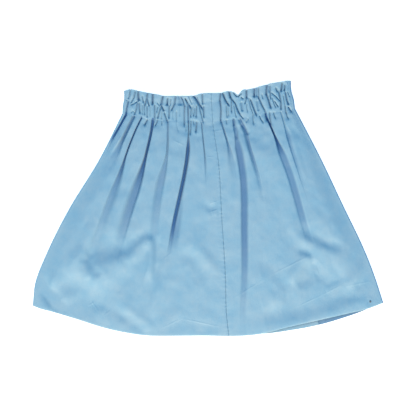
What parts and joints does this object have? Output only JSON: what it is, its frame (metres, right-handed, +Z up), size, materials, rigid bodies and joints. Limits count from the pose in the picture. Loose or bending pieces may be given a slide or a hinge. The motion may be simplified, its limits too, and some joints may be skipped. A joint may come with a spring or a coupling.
{
  "type": "gathered skirt",
  "caption": "Light blue cotton skirt with an elastic casing, a standing ruffle header and a centre front seam, laid flat with its front up.",
  "frame": {"origin": "middle of the outline's box seen from above, on the surface that the skirt lies on", "axes": "+Z up from that surface, +X to the right seen from above with the waist at the top, +Y towards the waist"},
  "size_m": [0.6832, 0.4976, 0.0131],
  "materials": {
    "cotton": "matt light blue plain-weave cotton",
    "stud": "dark satin"
  },
  "bodies": {
    "root": {"front_left_panel": "cotton", "front_right_panel": "cotton", "back_panel": "cotton", "front_left_casing": "cotton", "front_right_casing": "cotton", "back_casing": "cotton", "front_left_ruffle": "cotton", "front_right_ruffle": "cotton", "back_ruffle": "cotton", "hem_stud": "stud"}
  },
  "joints": []
}
